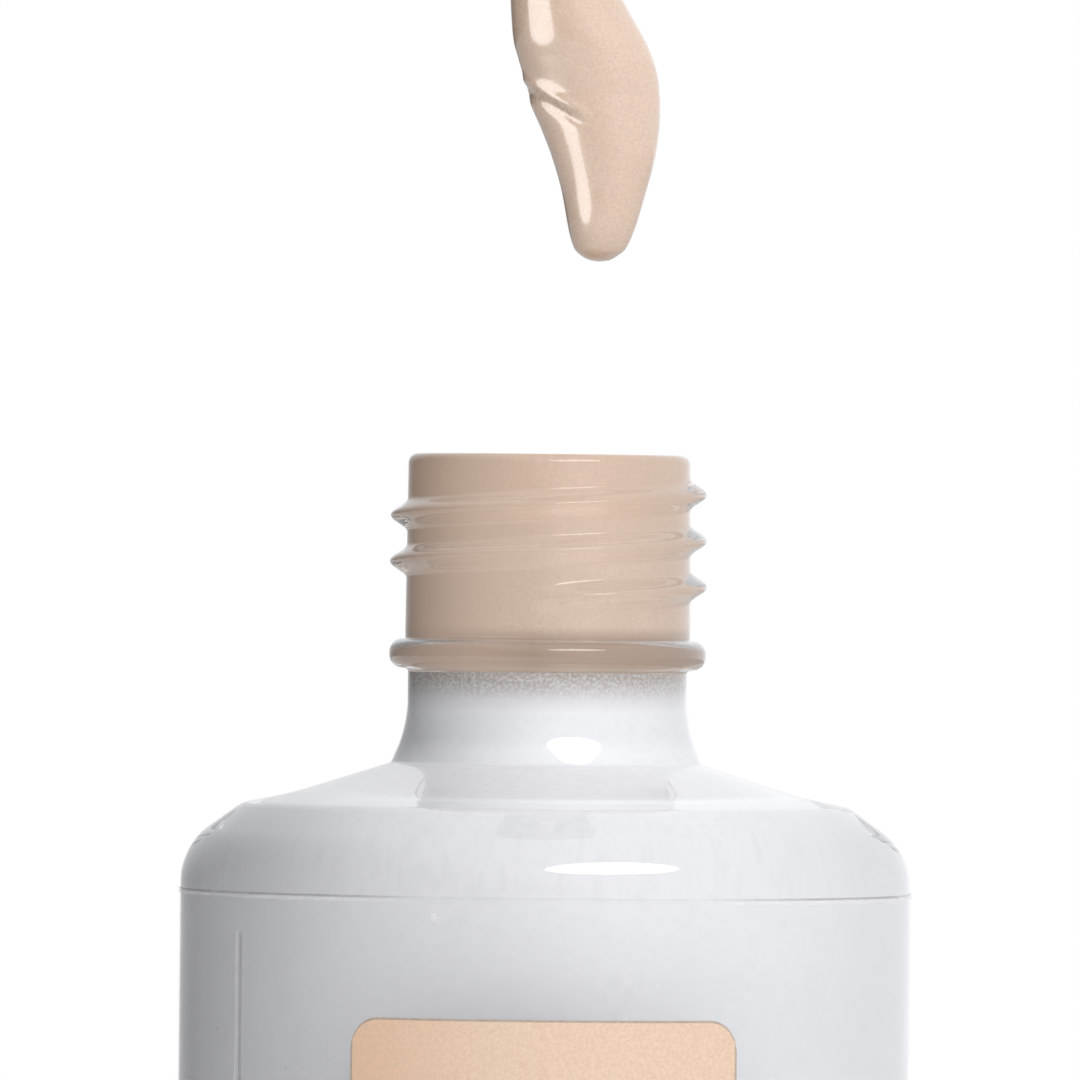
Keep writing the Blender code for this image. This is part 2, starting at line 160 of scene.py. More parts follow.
bottleLook = {
    "neckRadius": 9.70, "neckFootRadius": 10.7, "neckLength": 21.3, "collarRadius": 9.6,
    "beadDepth": 13.75, "beadRadius": 10.9, "beadHalf": 1.0,
    "scoopRadius": 17.6, "scoopDepth": 23.5, "bendRadius": 20.9, "bendDepth": 24.15, "bendCut": 0.5,
    "shoulderDepth": 27.2, "shoulderCut": 2.2, "heelCut": 2.5, "footRing": 17.6, "punt": 1.2,
    "bore": 7.6, "boreLength": 21.8, "cavityRadius": 17.3, "cavityDrop": 2.5, "cavityCut": 0.9, "flareCut": 2.0,
    "floor": 10.0, "floorCut": 4.5, "rimInnerCut": 0.4, "rimOuterCut": 0.65, "beadStep": 0.1,
    "beadFillet": 0.35, "beadTopCut": 0.8, "beadFootCut": 0.75, "collarFoot": 2.6, "collarCut": 1.6,
    "puntSlope": 1.5, "steps": 240,
}
bottleThread = {
    "pitch": 3.175, "half": 1.15, "top": 2.68, "turns": 2.17, "fade": math.radians(40), "rise": 1.15,
}


def cavityProfile(inset, topDepth):
    # the inner wall from the floor's centre up to topDepth below the rim, moved inwards by inset
    b = bottleLook
    rim = rimHeight / mm
    flare = rim - b["boreLength"]
    return [
        (0, b["floor"] + inset, 0),
        (b["cavityRadius"] - inset, b["floor"] + inset, b["floorCut"]),
        (b["cavityRadius"] - inset, flare - b["cavityDrop"] - inset, b["cavityCut"]),
        (b["bore"] - inset, flare - inset, b["flareCut"]),
        (b["bore"] - inset, rim - topDepth, 0),
    ]


def outerProfile():
    b = bottleLook
    rim = rimHeight / mm
    bead = rim - b["beadDepth"]
    neckFoot = rim - b["neckLength"]
    outside = bodyRadius / mm
    return [
        (b["bore"], rim, b["rimInnerCut"]),
        (b["neckRadius"], rim, b["rimOuterCut"]),
        (b["neckRadius"] + 0.12, bead + b["beadHalf"] + b["beadFillet"], 0.15),
        (b["neckRadius"] + 0.10, bead + b["beadHalf"], 0.1),
        (b["beadRadius"], bead + b["beadHalf"] - b["beadStep"], b["beadTopCut"]),
        (b["beadRadius"], bead - b["beadHalf"] + b["beadStep"], b["beadFootCut"]),
        (b["collarRadius"], bead - b["beadHalf"] - b["beadStep"], 0.2),
        (b["collarRadius"], neckFoot + b["collarFoot"], b["collarCut"]),
        (b["neckFootRadius"], neckFoot, 0.15),
        (b["scoopRadius"], rim - b["scoopDepth"], 1.2),
        (b["bendRadius"], rim - b["bendDepth"], b["bendCut"]),
        (outside, rim - b["shoulderDepth"], b["shoulderCut"]),
        (outside, 0, b["heelCut"]),
        (b["footRing"], 0, 0.3),
        (b["footRing"] - b["puntSlope"], b["punt"] * 0.6, 0.6),
        (0, b["punt"], 0),
    ]


def makeBottle(material):
    bm = bmesh.new()
    drawProfile(bm, cavityProfile(0, 1)[:-1] + outerProfile())
    splitWall(bm, bottleLook["neckRadius"], 5, 110)
    turnProfile(bm, bottleLook["steps"])
    raiseThread(bm, bottleThread, rimHeight, bottleThread["rise"], lambda r: r > bottleLook["neckRadius"] - 0.3)
    asPiece(bm, "glassBottle", [material], "bottle", "glass_bottle")


coatLook = {"touch": -0.01, "thickness": 0.2}  # the coat grips the glass with no air between


def makeCoat(material):
    bm = bmesh.new()
    top = (rimHeight - coatBox[1].z) / mm
    drawProfile(bm, cavityProfile(coatLook["thickness"], top) + cavityProfile(coatLook["touch"], top)[::-1])
    turnProfile(bm, bottleLook["steps"])
    asPiece(bm, "innerWhiteCoat", [material], "bottle", "inner_white_coat")


fillLook = {
    "gap": 0.05, "level": 0.35, "meniscus": 1.2, "meniscusCut": 0.9, "climb": 0.15, "climbCut": 0.1,
    "aboveCoat": 0.1, "underCoat": 0.05, "stepCut": 0.02,
}


def makeFill(material):
    # the liquid climbs a little at the bore, and steps inwards where the coat begins
    bm = bmesh.new()
    f = fillLook
    rim = rimHeight / mm
    coatTop = (rimHeight - coatBox[1].z) / mm
    wide = bottleLook["bore"] - coatLook["touch"]
    below = cavityProfile(coatLook["thickness"] + f["gap"], coatTop + f["underCoat"])
    drawProfile(bm, [
        (0, rim - f["level"], 0), (wide - f["meniscus"], rim - f["level"], f["meniscusCut"]),
        (wide, rim - f["climb"], f["climbCut"]), (wide, rim - coatTop + f["aboveCoat"], f["stepCut"]),
    ] + below[::-1])
    turnProfile(bm, bottleLook["steps"])
    asPiece(bm, "foundationFill", [material], "bottle", "foundation_fill")


wrapLook = {"edgeCut": 0.05, "seamAngle": math.radians(-56.3), "lap": math.radians(7), "lapRise": 0.05,
            "clearance": 0.03}


def makeWrap(material):
    # a film tube whose end laps over its start, with a step down at the seam
    bm = bmesh.new()
    w = wrapLook
    outer = wrapBox[1].x / mm
    inner = bodyRadius / mm + w["clearance"]
    bottom, top = wrapBox[0].z / mm, wrapBox[1].z / mm
    drawProfile(bm, [
        (inner, bottom, 0), (inner, top, 0), (outer, top, w["edgeCut"]), (outer, bottom, w["edgeCut"]),
    ], segments=3, closed=True)
    turnProfile(bm, bottleLook["steps"])
    for vert in bm.verts:
        around = math.atan2(vert.co.x, -vert.co.y) - w["seamAngle"]
        if 0 <= around < w["lap"]:
            reach = math.hypot(vert.co.x, vert.co.y)
            scale = 1 + w["lapRise"] * mm * (1 - around / w["lap"]) / reach
            vert.co.x *= scale
            vert.co.y *= scale
    asPiece(bm, "clearWrapLabel", [material], "bottle", "clear_wrap_label")


labelLook = {"corner": 2.1, "border": 0.16, "columns": 96, "rows": 10, "lift": 0.03, "thickness": 0.08}


def makeLabel(paper, outline):
    # a sheet with rounded corners, bent round the body, with a narrow darker border
    bm = bmesh.new()
    k = labelLook
    halfWidth = (labelBox[1].x - labelBox[0].x) / 2 / mm
    halfHeight = (labelBox[1].z - labelBox[0].z) / 2 / mm
    middle = (labelBox[1].z + labelBox[0].z) / 2 / mm
    radius = wrapBox[1].x / mm + k["lift"]
    bmesh.ops.create_grid(bm, x_segments=k["columns"], y_segments=k["rows"], size=1)
    lastColumn, lastRow = 1 - 2.5 / k["columns"], 1 - 2.5 / k["rows"]
    borderFaces = [f for f in bm.faces if abs(f.calc_center_median().x) > 1 - 1.5 / k["columns"]
                   or abs(f.calc_center_median().y) > 1 - 1.5 / k["rows"]]
    arc = math.asin(halfWidth / radius) * radius
    for vert in bm.verts:
        side, level = vert.co.x, vert.co.y
        across = arc * side
        if lastColumn < abs(side) < 1:
            across = math.copysign(arc - k["border"], side)
        past = max(0, abs(across) - (arc - k["corner"]))
        reach = halfHeight - k["corner"] + math.sqrt(max(0, k["corner"] ** 2 - past ** 2))
        height = reach * level
        if lastRow < abs(level) < 1:
            height = math.copysign(reach - k["border"], level)
        turned = across / radius
        vert.co = (radius * math.sin(turned) * mm, -radius * math.cos(turned) * mm, (middle + height) * mm)
    for face in borderFaces:
        face.material_index = 1
    bmesh.ops.recalc_face_normals(bm, faces=bm.faces[:])
    if sum(face.normal.y for face in bm.faces) > 0:
        bmesh.ops.reverse_faces(bm, faces=bm.faces[:])
    bmesh.ops.solidify(bm, geom=bm.faces[:], thickness=-k["thickness"] * mm)
    bmesh.ops.recalc_face_normals(bm, faces=bm.faces[:])
    asPiece(bm, "frontLabel", [paper, outline], "bottle", "front_label")


shellLook = {"wall": 1.25, "top": 1.6, "edgeCut": 0.95, "lipCut": 0.28, "innerCut": 0.35, "steps": 160}


def makeShell(material):
    bm = bmesh.new()
    s = shellLook
    outside = shellBox[1].x / mm
    bottom, top = shellBox[0].z / mm, shellBox[1].z / mm
    drawProfile(bm, [
        (0, top, 0), (outside, top, s["edgeCut"]), (outside, bottom, s["lipCut"]),
        (outside - s["wall"], bottom, s["lipCut"]), (outside - s["wall"], top - s["top"], s["innerCut"]),
        (0, top - s["top"], 0),
    ])
    turnProfile(bm, s["steps"])
    asPiece(bm, "capOuterShell", [material], "closure", "cap_outer_shell")


linerLook = {"wall": 1.0, "ceiling": 1.4, "hole": 3.3, "edgeCut": 0.35, "lipCut": 0.25, "steps": 160}
linerThread = {"pitch": 3.175, "half": 0.8, "top": 4.27, "turns": 1.6, "fade": math.radians(40), "rise": -1.08}


def makeLiner(material):
    bm = bmesh.new()
    s = linerLook
    outside = linerBox[1].x / mm
    bottom, top = linerBox[0].z / mm, linerBox[1].z / mm
    inside = outside - s["wall"]
    drawProfile(bm, [
        (s["hole"], top - s["ceiling"], 0.1), (s["hole"], top, 0.1), (outside, top, s["edgeCut"]),
        (outside, bottom, s["lipCut"]), (inside, bottom, s["lipCut"]), (inside, top - s["ceiling"], 0.2),
    ], segments=4, closed=True)
    splitWall(bm, inside, 5, 90)
    turnProfile(bm, s["steps"])
    raiseThread(bm, linerThread, seatHeight, linerThread["rise"], lambda r: inside - 0.25 < r < inside + 0.1)
    asPiece(bm, "capInnerLiner", [material], "closure", "cap_inner_liner")


wadLook = {
    "hole": 3.3, "edgeCut": 0.2, "dent": 0.07, "dentSlope": 0.2, "dentCut": 0.08, "rimInside": 0.3,
    "rimOutside": 0.2, "steps": 128,
}


def makeWad(material):
    # the bottle's rim has pressed a shallow ring into the foam
    bm = bmesh.new()
    s = wadLook
    outside = wadBox[1].x / mm
    bottom, top = wadBox[0].z / mm, wadBox[1].z / mm
    rimInner, rimOuter = bottleLook["bore"] + s["rimInside"], bottleLook["neckRadius"] - s["rimOutside"]
    slope, cut = s["dentSlope"], s["dentCut"]
    drawProfile(bm, [
        (s["hole"], bottom, s["edgeCut"]), (s["hole"], top, s["edgeCut"]), (outside, top, s["edgeCut"]),
        (outside, bottom, s["edgeCut"]), (rimOuter + slope, bottom, cut), (rimOuter, bottom + s["dent"], cut),
        (rimInner, bottom + s["dent"], cut), (rimInner - slope, bottom, cut),
    ], segments=3, closed=True)
    turnProfile(bm, s["steps"])
    asPiece(bm, "sealingWad", [material], "gasket", "sealing_wad")


wandLook = {"flange": 1.0, "boss": 3.1, "hole": 2.35, "rod": 2.2, "peg": 1.3, "pegLength": 5.0, "steps": 96}


def makeHolder(material):
    bm = bmesh.new()
    w = wandLook
    wide = holderBox[1].x / mm
    bottom, top = holderBox[0].z / mm, holderBox[1].z / mm
    under = top - w["flange"]
    drawProfile(bm, [
        (0, top, 0), (wide, top, 0.2), (wide, under, 0.2), (w["boss"], under, 0.12), (w["boss"], bottom, 0.25),
        (w["hole"], bottom, 0.15), (w["hole"], under, 0.1), (0, under, 0),
    ], segments=4)
    turnProfile(bm, w["steps"])
    asPiece(bm, "wandHolder", [material], "closure", "wand_holder")


def makeRod(material):
    bm = bmesh.new()
    w = wandLook
    bottom, top = rodBox[0].z / mm, rodBox[1].z / mm
    foot = bottom + w["pegLength"]
    drawProfile(bm, [
        (0, top, 0), (w["rod"], top, 0.25), (w["rod"], foot, 0.2),
        (w["peg"], foot, 0.1), (w["peg"], bottom, 0.3), (0, bottom, 0),
    ], segments=5)
    turnProfile(bm, w["steps"])
    asPiece(bm, "wandRod", [material], "closure", "wand_rod")


spatulaLook = {
    "bladeLength": 12.8, "lean": 3.4, "steps": 5, "segments": 64,
    "blade": [(0, 0.5, 0.4), (0.8, 1.2, 0.65), (2.3, 1.75, 0.7), (5.3, 2.2, 0.7), (8.8, 2.2, 0.75)],
    "sleeve": [(12.8, 2.2, 2.15), (13.5, 2.2, 2.2)], "topCut": 0.1, "topWidth": 2.2, "topEdge": 2.05,
}


def makeSpatula(material):
    # a slim blade that leans to +X below its round sleeve; sections are height, half width and half depth
    bm = bmesh.new()
    t = spatulaLook
    low, high = tipBox[0].z / mm, tipBox[1].z / mm
    slope = t["lean"] / t["bladeLength"]
    sections = t["blade"] + t["sleeve"] + [
        (high - low - t["topCut"], t["topWidth"], t["topWidth"]), (high - low, t["topEdge"], t["topEdge"])]
    loftRings(bm, smoothRings([
        (low + h, slope * (t["bladeLength"] - h) if h < t["bladeLength"] else 0, 0, wide, deep)
        for h, wide, deep in sections
    ], t["steps"]), t["segments"])
    asPiece(bm, "spatulaTip", [material], "closure", "spatula_tip")


dollopLook = {
    "segments": 112, "steps": 9, "ripple": 0.07, "rippleScale": 240, "foldHeight": 10.8, "foldSlant": 0.55,
    "foldDepth": 0.15, "foldHalf": 0.45, "foldEnd": 2.8, "foldFade": 1.5, "lipRise": 0.5, "lipFall": 0.15,
    "coreX": 1.6, "coreReach": 0.5, "smoothBelow": 3, "smoothAbove": 2, "length": 24,
}


def makeDollop(material):
    # foundation wrapped round the leaning blade, with a folded lip on the left and a hanging drip
    bm = bmesh.new()
    d = dollopLook
    low = dripBox[0].z / mm
    outline = [  # height above the drip's end, left edge, right edge, half depth
        (0.02, 3.20, 3.40, 0.10), (0.12, 2.60, 4.00, 0.62), (0.4, 2.05, 4.50, 1.15),
        (1.0, 1.50, 5.15, 1.65), (2.6, 1.05, 5.85, 2.10), (5.0, 0.60, 6.50, 2.30),
        (7.0, 0.00, 7.00, 2.45), (9.0, -0.80, 7.30, 2.55), (10.2, -1.35, 7.35, 2.60),
        (10.9, -1.62, 7.35, 2.60), (11.6, -1.72, 7.30, 2.60), (12.6, -2.00, 7.20, 2.70),
        (14.0, -2.45, 6.85, 2.85), (15.5, -2.85, 6.20, 3.00), (18.5, -3.05, 4.55, 3.00),
        (21.5, -3.05, 3.30, 3.00), (23.3, -2.90, 2.90, 2.90), (23.98, -2.35, 2.35, 2.35),
    ]
    rings = [(height, (left + right) / 2, 0, (right - left) / 2, deep) for height, left, right, deep in outline]
    loftRings(bm, [(low + r[0],) + r[1:] for r in smoothRings(rings, d["steps"])], d["segments"])
    for vert in bm.verts:
        height, side = vert.co.z / mm - low, vert.co.x / mm
        keep = min(1, height / d["smoothBelow"]) * min(1, (d["length"] - height) / d["smoothAbove"])
        ripple = noise.noise(vert.co * d["rippleScale"]) * d["ripple"]
        above = height - d["foldHeight"] + side * d["foldSlant"]
        reach = max(0, min(1, (d["foldEnd"] - side) / d["foldFade"])) * (vert.co.y < 0)
        lip = (math.exp(-((above - d["lipRise"]) / d["foldHalf"]) ** 2)
               - math.exp(-((above + d["lipFall"]) / d["foldHalf"]) ** 2))
        away = Vector((vert.co.x - d["coreX"] * mm, vert.co.y, 0))
        if away.length > d["coreReach"] * mm:
            vert.co += away.normalized() * (ripple + lip * reach * d["foldDepth"]) * keep * mm
    bmesh.ops.recalc_face_normals(bm, faces=bm.faces[:])
    return asPiece(bm, "foundationDollop", [material], "closure", "foundation_dollop")


def place(nodes, kind, inputs=(), **settings):
    node = nodes.new(kind)
    for key, value in settings.items():
        setattr(node, key, value)
    for key, value in dict(inputs).items():
        node.inputs[key].default_value = value
    return node


def newGroup(name, inputs, output="Mask"):
    group = bpy.data.node_groups.new(name, "ShaderNodeTree")
    for label, value in inputs.items():
        group.interface.new_socket(label, in_out="INPUT", socket_type="NodeSocketFloat").default_value = value
    group.interface.new_socket(output, in_out="OUTPUT", socket_type="NodeSocketFloat")
    return group, place(group.nodes, "NodeGroupInput"), place(group.nodes, "NodeGroupOutput")


def grainGroup():
    # fine natural variation: a mask that runs from 0 to 1 between the noise values Low and High
    group, entry, result = newGroup("grain", {"Scale": 800.0, "Low": 0.35, "High": 0.65, "Stretch": 1.0})
    nodes, links = group.nodes, group.links
    coords = place(nodes, "ShaderNodeTexCoord")
    pull = place(nodes, "ShaderNodeCombineXYZ", {0: 1.0, 1: 1.0})
    shaped = place(nodes, "ShaderNodeVectorMath", operation="MULTIPLY")
    field = place(nodes, "ShaderNodeTexNoise", {"Detail": 3.0, "Roughness": 0.6})
    ramp = place(nodes, "ShaderNodeMapRange")
    links.new(entry.outputs["Stretch"], pull.inputs[2])
    links.new(coords.outputs["Object"], shaped.inputs[0])
    links.new(pull.outputs[0], shaped.inputs[1])
    links.new(shaped.outputs[0], field.inputs["Vector"])
    links.new(entry.outputs["Scale"], field.inputs["Scale"])
    links.new(field.outputs[0], ramp.inputs["Value"])
    links.new(entry.outputs["Low"], ramp.inputs["From Min"])
    links.new(entry.outputs["High"], ramp.inputs["From Max"])
    links.new(ramp.outputs[0], result.inputs[0])
    return group


def bandGroup():
    # a soft-edged band between two values of Level * Z + Tilt * X + Depth * Y
    group, entry, result = newGroup("heightBand", {
        "Bottom": 0.0, "Top": 0.1, "Soft": 0.001, "Level": 1.0, "Tilt": 0.0, "Depth": 0.0})
    nodes, links = group.nodes, group.links
    coords = place(nodes, "ShaderNodeTexCoord")
    split = place(nodes, "ShaderNodeSeparateXYZ")
    slant = place(nodes, "ShaderNodeMath", operation="MULTIPLY")
    behind = place(nodes, "ShaderNodeMath", operation="MULTIPLY_ADD")
    spot = place(nodes, "ShaderNodeMath", operation="MULTIPLY_ADD")
    links.new(coords.outputs["Object"], split.inputs[0])
    links.new(split.outputs["X"], slant.inputs[0])
    links.new(entry.outputs["Tilt"], slant.inputs[1])
    links.new(split.outputs["Z"], spot.inputs[0])
    links.new(entry.outputs["Level"], spot.inputs[1])
    links.new(split.outputs["Y"], behind.inputs[0])
    links.new(entry.outputs["Depth"], behind.inputs[1])
    links.new(slant.outputs[0], behind.inputs[2])
    links.new(behind.outputs[0], spot.inputs[2])
    ends = []
    for first, second in ((spot.outputs[0], entry.outputs["Bottom"]), (entry.outputs["Top"], spot.outputs[0])):
        past = place(nodes, "ShaderNodeMath", operation="SUBTRACT")
        share = place(nodes, "ShaderNodeMath", operation="DIVIDE", use_clamp=True)
        links.new(first, past.inputs[0])
        links.new(second, past.inputs[1])
        links.new(past.outputs[0], share.inputs[0])
        links.new(entry.outputs["Soft"], share.inputs[1])
        ends.append(share.outputs[0])
    both = place(nodes, "ShaderNodeMath", operation="MULTIPLY")
    links.new(ends[0], both.inputs[0])
    links.new(ends[1], both.inputs[1])
    links.new(both.outputs[0], result.inputs[0])
    return group


class Finish:
    # one Principled material and short ways to wire its masks
    def __init__(self, name, colour, roughness, ior=1.5):
        self.material = bpy.data.materials.new(name)
        self.material.use_nodes = True
        self.nodes, self.links = self.material.node_tree.nodes, self.material.node_tree.links
        self.shader = self.nodes["Principled BSDF"]
        self.shader.inputs["Base Color"].default_value = (*colour, 1)
        self.shader.inputs["Roughness"].default_value = roughness
        self.shader.inputs["IOR"].default_value = ior

    def mask(self, group, **values):
        node = place(self.nodes, "ShaderNodeGroup", node_tree=group)
        for key, value in values.items():
            node.inputs[key].default_value = value
        return node.outputs[0]

    def strip(self, band, left, right, soft):
        # a soft-edged upright strip between two places along X
        return self.mask(band, Bottom=left * mm, Top=right * mm, Soft=soft * mm, Level=0.0, Tilt=1.0)

    def calc(self, operation, first, second):
        # one clamped sum of two masks or numbers
        node = place(self.nodes, "ShaderNodeMath", operation=operation, use_clamp=True)
        for socket, value in zip(node.inputs, (first, second)):
            if isinstance(value, (int, float)):
                socket.default_value = value
            else:
                self.links.new(value, socket)
        return node.outputs[0]

    def tint(self, mask, colour):
        # blend the base colour towards colour where the mask is 1
        node = place(self.nodes, "ShaderNodeMix", data_type="RGBA")
        self.links.new(mask, node.inputs["Factor"])
        base = self.shader.inputs["Base Color"]
        if base.links:
            self.links.new(base.links[0].from_socket, node.inputs[6])
        else:
            node.inputs[6].default_value = base.default_value
        node.inputs[7].default_value = (*colour, 1)
        self.links.new(node.outputs[2], base)

    def remap(self, mask, low, high, target):
        # drive one input of the shader between two values
        node = place(self.nodes, "ShaderNodeMapRange", {"To Min": low, "To Max": high})
        self.links.new(mask, node.inputs["Value"])
        self.links.new(node.outputs[0], self.shader.inputs[target])

    def bump(self, mask, strength, distance):
        node = place(self.nodes, "ShaderNodeBump", {"Strength": strength, "Distance": distance * mm})
        self.links.new(mask, node.inputs["Height"])
        self.links.new(node.outputs[0], self.shader.inputs["Normal"])


def glassFinish(grain):
    # clear glass with a faint wave in it; light that only brightens other pieces passes straight through
    finish = Finish("clearGlass", (0.985, 0.99, 0.995), 0.0)
    finish.shader.inputs["Transmission Weight"].default_value = 1.0
    finish.bump(finish.mask(grain, Scale=95.0, Low=0.3, High=0.7, Stretch=1.2), 0.03, 0.06)
    nodes, links = finish.nodes, finish.links
    path = place(nodes, "ShaderNodeLightPath")
    clear = place(nodes, "ShaderNodeBsdfTransparent")
    mix = place(nodes, "ShaderNodeMixShader")
    unseen = finish.calc("MAXIMUM", path.outputs["Is Shadow Ray"], path.outputs["Is Diffuse Ray"])
    links.new(unseen, mix.inputs["Fac"])
    links.new(finish.shader.outputs[0], mix.inputs[1])
    links.new(clear.outputs[0], mix.inputs[2])
    links.new(mix.outputs[0], nodes["Material Output"].inputs["Surface"])
    return finish.material


def coatFinish(grain, band):
    # white lacquer that fades out in grey-beige specks at the top, with painted shade under the bead as a
    # darker grey band
    top = coatBox[1].z
    finish = Finish("whiteLacquer", (0.78, 0.78, 0.795), 0.5)
    finish.tint(finish.mask(grain, Scale=55.0, Low=0.40, High=0.75), (0.74, 0.74, 0.76))
    finish.tint(finish.mask(grain, Scale=1500.0, Low=0.45, High=0.80), (0.72, 0.72, 0.74))
    # painted shade: the coat darkens to grey towards its top, under the bead
    shadeUnderBead = finish.mask(band, Bottom=top - 3.2 * mm, Top=top + 5 * mm, Soft=2.6 * mm)
    finish.tint(finish.calc("MULTIPLY", shadeUnderBead, 0.85), (0.44, 0.415, 0.40))
    edge = finish.mask(band, Bottom=top - 2.3 * mm, Top=top + 5 * mm, Soft=1.9 * mm)
    specks = finish.mask(grain, Scale=5200.0, Low=0.40, High=0.56)
    finish.tint(finish.calc("MULTIPLY", edge, specks), (0.33, 0.275, 0.235))
    finish.bump(finish.mask(grain, Scale=2600.0, Low=0.3, High=0.7), 0.2, 0.02)
    return finish.material


def foundationFinish(grain, name, colour, roughness):
    finish = Finish(name, colour, roughness)
    deep = tuple(part * 0.86 for part in colour)
    pale = tuple(min(1, part * 1.10) for part in colour)
    finish.tint(finish.mask(grain, Scale=160.0, Low=0.35, High=0.75), pale)
    finish.tint(finish.calc("MULTIPLY", finish.mask(grain, Scale=5200.0, Low=0.42, High=0.62), 0.55), deep)
    wetter = finish.mask(grain, Scale=420.0, Low=0.3, High=0.7)
    finish.remap(wetter, roughness - 0.06, roughness + 0.08, "Roughness")
    finish.bump(finish.mask(grain, Scale=3000.0, Low=0.3, High=0.7), 0.12, 0.02)
    return finish


def fillFinish(grain, band):
    # the liquid looks darker behind the bead, has painted light on its left side and is redder towards the rim
    finish = foundationFinish(grain, "foundationFillFinish", (0.60, 0.445, 0.345), 0.45)
    behindBead = finish.mask(band, Bottom=rimHeight - 15.2 * mm, Top=rimHeight - 11.8 * mm, Soft=0.9 * mm)
    finish.tint(finish.calc("MULTIPLY", behindBead, 0.9), (0.33, 0.235, 0.175))
    # painted light: the left side of the liquid is lighter
    paintedLightLeft = finish.strip(band, -20, -1, 6)
    finish.tint(finish.calc("MULTIPLY", paintedLightLeft, 0.7), (0.70, 0.525, 0.41))
    upper = finish.mask(band, Bottom=rimHeight - 7.5 * mm, Top=rimHeight + 5 * mm, Soft=4 * mm)
    finish.tint(finish.calc("MULTIPLY", upper, 0.35), (0.60, 0.41, 0.285))
    return finish.material


def dollopFinish(grain, band):
    finish = foundationFinish(grain, "wetFoundation", (0.665, 0.49, 0.375), 0.24)
    low = dripBox[0].z
    d = dollopLook
    middle = low + d["foldHeight"] * mm
    reach = 0.75 * mm
    # dark specks along the fold: a speckled texture, and painted shade in the fold
    fold = finish.mask(band, Bottom=middle - reach, Top=middle + reach, Soft=0.6 * mm, Tilt=d["foldSlant"])
    side = finish.strip(band, -5, d["foldEnd"], d["foldFade"])
    specks = finish.mask(grain, Scale=3200.0, Low=0.50, High=0.58)
    foldSpecksAndShade = finish.calc("MULTIPLY", finish.calc("MULTIPLY", fold, side), specks)
    finish.tint(finish.calc("MULTIPLY", foldSpecksAndShade, 0.45), (0.36, 0.26, 0.19))
    finish.shader.inputs["Coat Weight"].default_value = 1.0
    finish.shader.inputs["Coat Roughness"].default_value = 0.08
    return finish.material


def filmFinish(grain, band):
    # nearly invisible: towards the sides its top edge shows as a painted shadow line over a painted highlight
    # line; its lap seam shows as a painted highlight line with painted shade beside it, and there are a few
    # small bubbles
    finish = Finish("clearFilm", (0.80, 0.80, 0.82), 0.12)
    top = wrapBox[1].z
    # painted highlight: a lighter line just under the film's top edge
    paintedEdgeHighlight = finish.mask(band, Bottom=top - 0.42 * mm, Top=top - 0.16 * mm, Soft=0.06 * mm)
    # painted shadow: a dark line along the film's top edge
    paintedEdgeShadow = finish.mask(band, Bottom=top - 0.18 * mm, Top=top + 1 * mm, Soft=0.05 * mm)
    bond = finish.mask(grain, Scale=70.0, Low=0.42, High=0.60, Stretch=0.3)
    middle = finish.strip(band, -17, 20, 9)
    bubbles = finish.mask(grain, Scale=640.0, Low=0.70, High=0.72)
    inFront = finish.mask(band, Bottom=-100 * mm, Top=0.0, Soft=1 * mm, Level=0.0, Depth=1.0)
    underEdge = finish.mask(band, Bottom=-10 * mm, Top=top - 2.4 * mm, Soft=0.6 * mm)
    below = finish.calc("MULTIPLY", inFront, underEdge)
    # painted highlight: a light line along the lap seam, with painted shade just beside it
    seam = finish.calc("MULTIPLY", finish.strip(band, -21.05, -20.8, 0.08), below)
    seamShade = finish.calc("MULTIPLY", finish.strip(band, -20.8, -20.5, 0.1), below)
    finish.tint(finish.calc("MAXIMUM", paintedEdgeShadow, seamShade), (0.30, 0.29, 0.30))
    patchy = finish.calc("ADD", finish.calc("MULTIPLY", bond, 0.35), 0.05)
    edges = finish.calc("MULTIPLY", finish.calc("ADD", paintedEdgeHighlight, paintedEdgeShadow), patchy)
    faded = finish.calc("MULTIPLY", edges, finish.calc("SUBTRACT", 1.0, finish.calc("MULTIPLY", middle, 0.93)))
    marks = finish.calc("ADD", finish.calc("MULTIPLY", bubbles, 0.3), finish.calc("MULTIPLY", seam, 0.40))
    marks = finish.calc("ADD", marks, finish.calc("MULTIPLY", seamShade, 0.2))
    shown = finish.calc("ADD", faded, marks)
    finish.remap(shown, 0.04, 1.0, "Alpha")
    return finish.material


def labelFinish(grain, band):
    finish = Finish("peachPaper", (0.78, 0.585, 0.435), 0.5)
    # painted shade: the left part of the label is darker and oranger
    finish.tint(finish.strip(band, -20, -4, 9), (0.80, 0.51, 0.33))
    fibres = finish.mask(grain, Scale=4600.0, Low=0.38, High=0.62)
    finish.tint(finish.calc("MULTIPLY", fibres, 0.7), (0.68, 0.475, 0.34))
    clouds = finish.mask(grain, Scale=40.0, Low=0.35, High=0.7)
    finish.tint(finish.calc("MULTIPLY", clouds, 0.3), (0.80, 0.61, 0.46))
    finish.bump(finish.mask(grain, Scale=4200.0, Low=0.3, High=0.7), 0.25, 0.015)
    return finish.material


def borderFinish(grain):
    finish = Finish("labelBorder", (0.50, 0.40, 0.32), 0.55)
    finish.tint(finish.mask(grain, Scale=3000.0, Low=0.4, High=0.6), (0.42, 0.33, 0.27))
    finish.bump(finish.mask(grain, Scale=4200.0, Low=0.3, High=0.7), 0.2, 0.015)
    return finish.material


def shellFinish(grain):
    # white gloss moulding with faint flow variation and fine hairline rubs
    finish = Finish("whiteGlossMoulding", (0.73, 0.73, 0.737), 0.16)
    finish.tint(finish.mask(grain, Scale=45.0, Low=0.4, High=0.75), (0.70, 0.70, 0.71))
    rubs = finish.mask(grain, Scale=420.0, Low=0.64, High=0.76, Stretch=0.06)
    finish.remap(rubs, 0.14, 0.30, "Roughness")
    finish.bump(finish.mask(grain, Scale=210.0, Low=0.3, High=0.7), 0.05, 0.03)
    return finish.material


